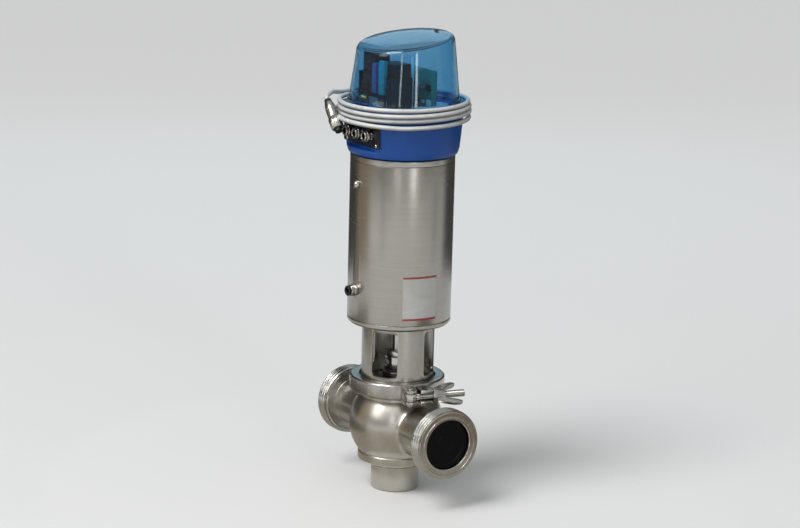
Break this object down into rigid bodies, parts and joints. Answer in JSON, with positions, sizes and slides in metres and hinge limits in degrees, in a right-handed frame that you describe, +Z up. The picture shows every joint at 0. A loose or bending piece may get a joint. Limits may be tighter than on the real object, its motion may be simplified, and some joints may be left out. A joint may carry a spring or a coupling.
{
  "type": "pneumatic actuated valve",
  "caption": "Hygienic single-seat valve with ball body, hinged clamp, lantern, steel air actuator and blue control head wound with its cable.",
  "frame": {"origin": "centre of the bottom port's weld face", "axes": "+Z up the stem towards the control head, +X out of the front side port"},
  "size_m": [0.2106, 0.1566, 0.5091],
  "materials": {
    "satin_steel": "satin, fine blasted grain",
    "brushed_steel": "brushed round the cylinder",
    "bright_steel": "turned and polished",
    "cast_steel": "tumbled casting",
    "spring_steel": "dark drawn wire",
    "nickel_brass": "nickel plated",
    "black_rubber": "matte",
    "bush_plastic": "matte",
    "blue_plastic": "moulded, satin",
    "clear_blue": "translucent moulded plastic",
    "dark_plastic": "moulded, satin",
    "board_green": "solder mask",
    "cable_grey": "smooth jacket"
  },
  "bodies": {
    "valve_body": {"actuator_base": "brushed_steel", "air_fitting": "nickel_brass", "body_gasket": "black_rubber", "body_shell": "satin_steel", "bonnet": "satin_steel", "cable_coil": "cable_grey", "cable_gland": "nickel_brass", "cable_lead": "cable_grey", "cable_tail": "cable_grey", "circuit_board": "board_green", "clamp_front_half": "cast_steel", "connector_body": "nickel_brass", "connector_insert": "dark_plastic", "cylinder_shell": "brushed_steel", "dome_seal": "black_rubber", "head_base": "blue_plastic", "head_screw_1": "bright_steel", "head_screw_2": "bright_steel", "hinge_pin": "bright_steel", "lantern": "brushed_steel", "neck_tube": "satin_steel", "pilot_valve": "dark_plastic", "pivot_pin": "bright_steel", "port_fitting_1": "nickel_brass", "port_fitting_2": "nickel_brass", "port_fitting_3": "nickel_brass", "return_spring": "spring_steel", "rod_seal": "black_rubber", "seat_ring": "satin_steel", "sensor_housing": "dark_plastic", "stem_bush": "bush_plastic", "stem_seal": "black_rubber", "tip_seal": "black_rubber", "top_cover": "brushed_steel", "union_front": "bright_steel", "union_rear": "bright_steel", "vent_plug": "bright_steel"},
    "stem": {"valve_stem": "bright_steel", "valve_plug": "bright_steel", "plug_seal": "black_rubber", "stem_coupling": "bright_steel", "lock_nut": "bright_steel", "piston_rod": "bright_steel", "piston_nut": "bright_steel", "piston": "bright_steel", "piston_seal": "black_rubber", "piston_guide_ring": "bush_plastic", "position_magnet": "dark_plastic"},
    "clamp_rear": {"clamp_rear_half": "cast_steel"},
    "clamp_bolt": {"clamp_bolt": "bright_steel"},
    "clamp_washer": {"clamp_washer": "bright_steel"},
    "wing_nut": {"wing_nut": "bright_steel"},
    "dome": {"dome": "clear_blue"},
    "port_plug": {"port_plug": "dark_plastic"},
    "connector_nut": {"connector_nut": "nickel_brass"},
    "air_collar": {"air_fitting_collar": "dark_plastic"},
    "port_collar_1": {"port_fitting_1_collar": "nickel_brass"},
    "port_collar_2": {"port_fitting_2_collar": "nickel_brass"},
    "port_collar_3": {"port_fitting_3_collar": "nickel_brass"},
    "override_button": {"override_button": "blue_plastic"}
  },
  "joints": [
    {"name": "stem_lift", "type": "slide", "parent": "valve_body", "child": "stem", "axis": [0, 0, 1], "range_m": [0, 0.028], "stiffness_N_per_m": 6000, "springref_m": -0.02, "deforming": ["return_spring"]},
    {"name": "bolt_swing", "type": "hinge", "parent": "valve_body", "child": "clamp_bolt", "pos_m": [0.06094, -0.02113, 0.1205], "axis": [0, 0, -1], "range_deg": [0, 14]},
    {"name": "washer_travel", "type": "slide", "parent": "clamp_bolt", "child": "clamp_washer", "axis": [0.2079, 0.9781, 0], "range_m": [0, 0.01401]},
    {"name": "wing_nut_turn", "type": "hinge", "parent": "clamp_washer", "child": "wing_nut", "pos_m": [0.06676, 0.00626, 0.1205], "axis": [0.2079, 0.9781, 0], "range_deg": [0, 2880]},
    {"name": "clamp_spread", "type": "hinge", "parent": "valve_body", "child": "clamp_rear", "pos_m": [-0.0582, 0.01237, 0.1205], "axis": [0, 0, 1], "range_deg": [0, 6.01]},
    {"name": "dome_lift", "type": "slide", "parent": "valve_body", "child": "dome", "axis": [0, 0, 1], "range_m": [0, 0.09]},
    {"name": "port_plug_pull", "type": "slide", "parent": "valve_body", "child": "port_plug", "axis": [1, 0, 0], "range_m": [0, 0.03]},
    {"name": "connector_nut_turn", "type": "hinge", "parent": "valve_body", "child": "connector_nut", "pos_m": [-0.034, -0.075, 0.433], "axis": [0.6947, -0.0463, -0.7178], "continuous": true},
    {"name": "air_collar_press", "type": "slide", "parent": "valve_body", "child": "air_collar", "axis": [0, 1, 0], "range_m": [0, 0.001], "stiffness_N_per_m": 800, "springref_m": -0.0005},
    {"name": "port_collar_1_press", "type": "slide", "parent": "valve_body", "child": "port_collar_1", "axis": [0, 1, 0], "range_m": [0, 0.001], "stiffness_N_per_m": 800, "springref_m": -0.0005},
    {"name": "port_collar_2_press", "type": "slide", "parent": "valve_body", "child": "port_collar_2", "axis": [0, 1, 0], "range_m": [0, 0.001], "stiffness_N_per_m": 800, "springref_m": -0.0005},
    {"name": "port_collar_3_press", "type": "slide", "parent": "valve_body", "child": "port_collar_3", "axis": [0, 1, 0], "range_m": [0, 0.001], "stiffness_N_per_m": 800, "springref_m": -0.0005},
    {"name": "override_press", "type": "slide", "parent": "valve_body", "child": "override_button", "axis": [0, 0, -1], "range_m": [0, 0.0015], "stiffness_N_per_m": 500, "springref_m": -0.001}
  ],
  "couplings": [
    {"joint": "washer_travel", "follows": "wing_nut_turn", "m_per_rad": 0.00027852},
    {"joint": "clamp_spread", "follows": "wing_nut_turn", "ratio": 0.0020833}
  ]
}
